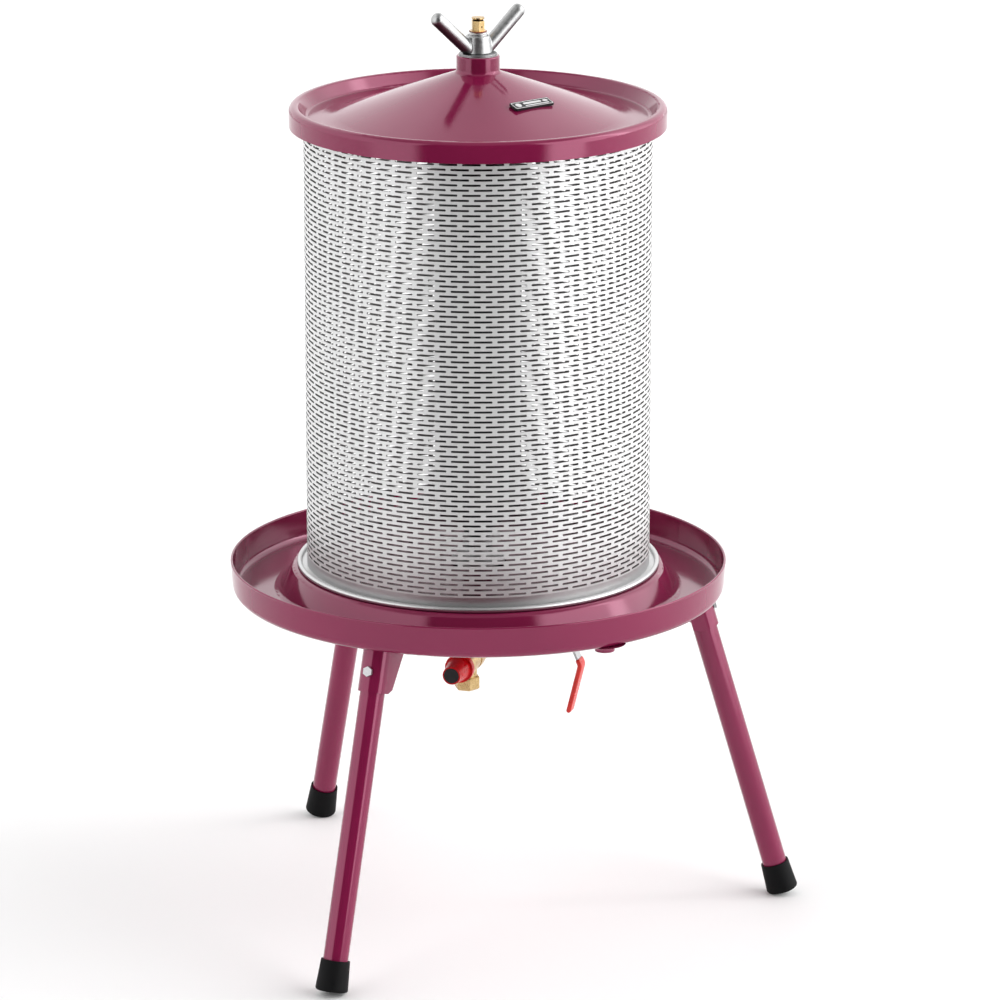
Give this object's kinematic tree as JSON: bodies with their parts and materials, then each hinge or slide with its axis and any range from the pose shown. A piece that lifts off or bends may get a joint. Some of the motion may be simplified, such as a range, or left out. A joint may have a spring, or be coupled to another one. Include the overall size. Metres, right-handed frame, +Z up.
{
  "type": "basket wine press",
  "caption": "Water-powered bladder press with a slotted steel basket, juice tray on tubular legs, lid held by a wing nut, and brass inlet and relief valves.",
  "frame": {"origin": "on the press axis at floor level", "axes": "+Z up along the press axis; -Y towards the juice spout; the water inlet points 40 degrees from +X towards +Y"},
  "size_m": [0.5567, 0.5615, 0.8985],
  "materials": {
    "burgundy_paint": "gloss",
    "stainless": "satin",
    "zinc_plated": "satin",
    "brass": "satin",
    "black_rubber": "matte",
    "natural_rubber": "matte",
    "nylon": "satin",
    "red_plastic": "gloss",
    "red_vinyl": "satin",
    "black_plastic": "satin",
    "fibre": "matte"
  },
  "bodies": {
    "stand": {"tray": "burgundy_paint", "juice_spout": "burgundy_paint", "leg_bracket_1": "burgundy_paint", "leg_bracket_2": "burgundy_paint", "leg_bracket_3": "burgundy_paint", "leg_1": "burgundy_paint", "leg_2": "burgundy_paint", "leg_3": "burgundy_paint", "foot_1": "black_rubber", "foot_2": "black_rubber", "foot_3": "black_rubber", "leg_bolts": "zinc_plated", "leg_nuts": "zinc_plated", "centre_tube": "stainless", "tube_collar": "stainless", "platform_gasket": "black_rubber", "lock_washer": "zinc_plated", "lock_nut": "zinc_plated", "bladder": "natural_rubber", "bladder_clamps": "stainless", "vent_gasket": "fibre", "vent_body": "brass", "tee_fitting": "brass", "relief_body": "brass", "relief_bonnet": "brass", "water_nipple": "brass", "ball_valve_body": "brass", "ball_valve_end_cap": "brass", "valve_seats": "nylon", "packing_nut": "brass", "hose_connector": "brass", "connector_gasket": "black_rubber"},
    "basket": {"basket_wall": "stainless", "basket_foot_ring": "stainless", "rim_seal": "black_rubber"},
    "lid": {"lid_shell": "burgundy_paint", "neck_bush": "nylon", "badge_plate": "black_plastic"},
    "washer": {"nut_washer": "stainless"},
    "wing_nut": {"wing_nut_hub": "stainless", "wing_nut_arms": "stainless"},
    "vent_seal": {"vent_washer": "black_rubber"},
    "vent_plug": {"vent_screw": "brass"},
    "lever": {"valve_ball": "brass", "valve_stem": "stainless", "valve_lever": "zinc_plated", "lever_grip": "red_vinyl", "lever_nut": "zinc_plated"},
    "relief_knob": {"relief_cap": "red_plastic", "relief_cap_disc": "black_plastic"},
    "relief_valve": {"relief_poppet": "stainless", "relief_spring": "stainless"}
  },
  "joints": [
    {"name": "basket_lift", "type": "slide", "parent": "stand", "child": "basket", "axis": [0, 0, 1], "range_m": [0, 0.56]},
    {"name": "lid_lift", "type": "slide", "parent": "basket", "child": "lid", "axis": [0, 0, 1], "range_m": [0, 0.12]},
    {"name": "nut_rise", "type": "slide", "parent": "lid", "child": "washer", "axis": [0, 0, 1], "range_m": [0, 0.0201]},
    {"name": "nut_spin", "type": "hinge", "parent": "washer", "child": "wing_nut", "pos_m": [0, 0, 0.8643], "axis": [0, 0, 1], "range_deg": [0, 2880]},
    {"name": "vent_rise", "type": "slide", "parent": "stand", "child": "vent_seal", "axis": [0, 0, 1], "range_m": [0, 0.00301]},
    {"name": "vent_spin", "type": "hinge", "parent": "vent_seal", "child": "vent_plug", "pos_m": [0, 0, 0.888], "axis": [0, 0, 1], "range_deg": [0, 1080]},
    {"name": "lever_turn", "type": "hinge", "parent": "stand", "child": "lever", "pos_m": [0.09193, 0.07713, 0.258], "axis": [0.6428, -0.766, 0], "range_deg": [0, 90]},
    {"name": "relief_knob_turn", "type": "hinge", "parent": "stand", "child": "relief_knob", "pos_m": [-0.05056, -0.04242, 0.258], "axis": [-0.766, -0.6428, 0], "continuous": true},
    {"name": "relief_open", "type": "slide", "parent": "stand", "child": "relief_valve", "axis": [-0.766, -0.6428, 0], "range_m": [0, 0.002], "stiffness_N_per_m": 3500, "springref_m": -0.009}
  ],
  "couplings": [
    {"joint": "nut_rise", "follows": "nut_spin", "m_per_rad": 0.00039789},
    {"joint": "vent_rise", "follows": "vent_spin", "m_per_rad": 0.00015915}
  ]
}
